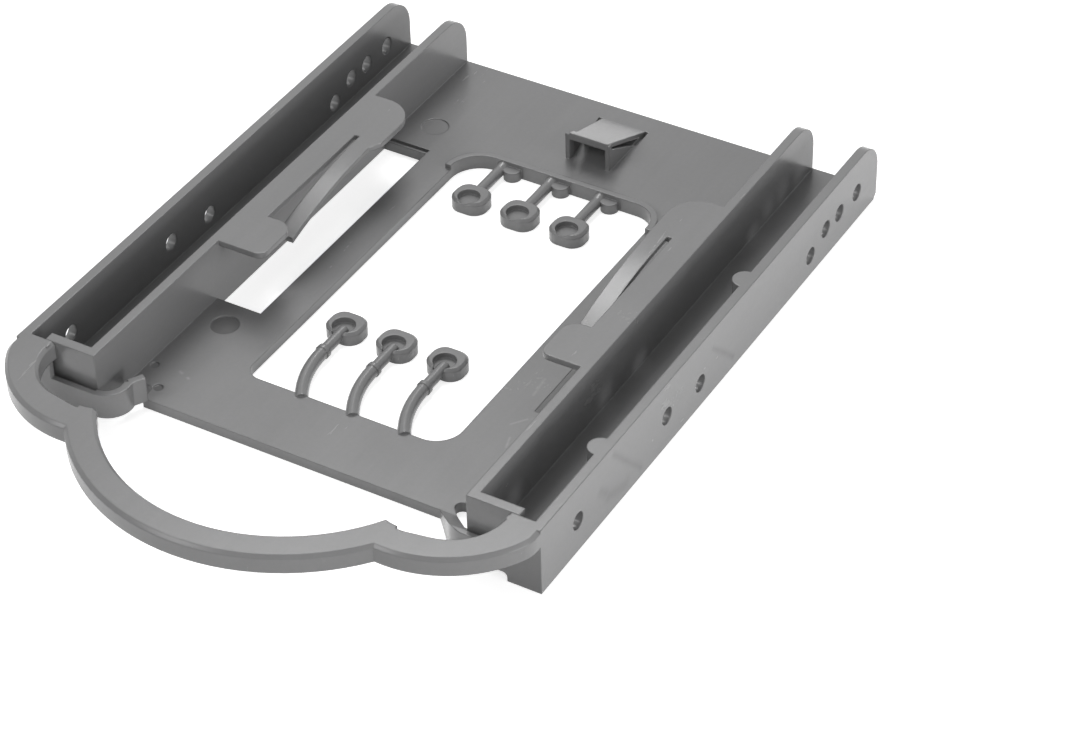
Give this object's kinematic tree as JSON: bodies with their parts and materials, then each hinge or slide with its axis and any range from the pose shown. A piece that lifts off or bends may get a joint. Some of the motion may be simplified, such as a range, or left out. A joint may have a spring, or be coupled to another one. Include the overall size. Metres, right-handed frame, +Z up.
{
  "type": "drive bay adapter bracket",
  "caption": "Flat tray with channelled side walls, spring pads and a bow handle that holds a small drive in a wider drive bay.",
  "frame": {"origin": "middle of the footprint, on the face that the bracket rests on", "axes": "+X to the right seen from the handle, +Y from the handle to the rear, +Z up from the base plate to the wall tops"},
  "size_m": [0.1016, 0.1512, 0.0133],
  "materials": {
    "bracket": "satin moulded plastic, mid-grey"
  },
  "bodies": {
    "root": {"adapter_bracket": "bracket"}
  },
  "joints": []
}
